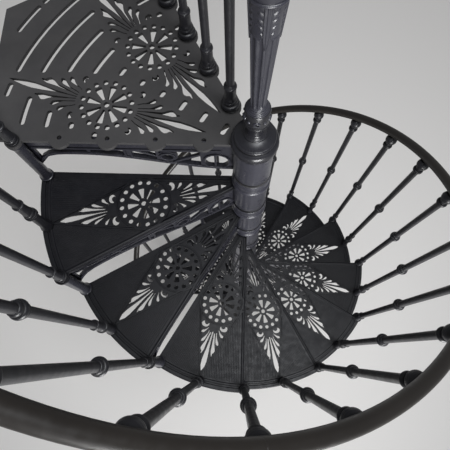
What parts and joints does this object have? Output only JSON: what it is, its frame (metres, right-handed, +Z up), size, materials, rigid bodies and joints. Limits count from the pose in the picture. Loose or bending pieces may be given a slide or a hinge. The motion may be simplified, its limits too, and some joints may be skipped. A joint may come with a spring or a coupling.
{
  "type": "spiral staircase",
  "caption": "Cast-iron spiral staircase with pierced fan-pattern treads, arched risers, round column, corner landing and helical handrail.",
  "frame": {"origin": "on the floor, at the centre line of the column, on the underside of the base flange", "axes": "+Z up along the column; +X along the front edge of the landing; the treads go down counter-clockwise seen from above"},
  "size_m": [1.23, 1.194, 3.841],
  "materials": {
    "tread_iron": "satin black paint",
    "riser_iron": "satin black paint",
    "landing_iron": "satin black paint, a little worn",
    "newel_iron": "semi-gloss charcoal paint",
    "baluster_iron": "satin black paint",
    "rail_steel": "satin black paint",
    "pipe_steel": "dark primer, hidden in the hubs",
    "flange_iron": "satin black paint"
  },
  "bodies": {
    "root": {"base_flange": "flange_iron", "column_pipe": "pipe_steel", "tread_01": "tread_iron", "tread_02": "tread_iron", "tread_03": "tread_iron", "tread_04": "tread_iron", "tread_05": "tread_iron", "tread_06": "tread_iron", "tread_07": "tread_iron", "tread_08": "tread_iron", "tread_09": "tread_iron", "tread_10": "tread_iron", "tread_11": "tread_iron", "tread_12": "tread_iron", "riser_01": "riser_iron", "riser_02": "riser_iron", "riser_03": "riser_iron", "riser_04": "riser_iron", "riser_05": "riser_iron", "riser_06": "riser_iron", "riser_07": "riser_iron", "riser_08": "riser_iron", "riser_09": "riser_iron", "riser_10": "riser_iron", "riser_11": "riser_iron", "riser_12": "riser_iron", "landing": "landing_iron", "landing_riser": "riser_iron", "newel_base": "newel_iron", "newel_shaft": "newel_iron", "newel_top": "newel_iron", "balusters_01": "baluster_iron", "balusters_02": "baluster_iron", "balusters_03": "baluster_iron", "balusters_04": "baluster_iron", "balusters_05": "baluster_iron", "balusters_06": "baluster_iron", "landing_balusters": "baluster_iron", "landing_rail": "rail_steel", "handrail_01": "rail_steel", "handrail_02": "rail_steel", "handrail_03": "rail_steel", "handrail_04": "rail_steel"}
  },
  "joints": []
}
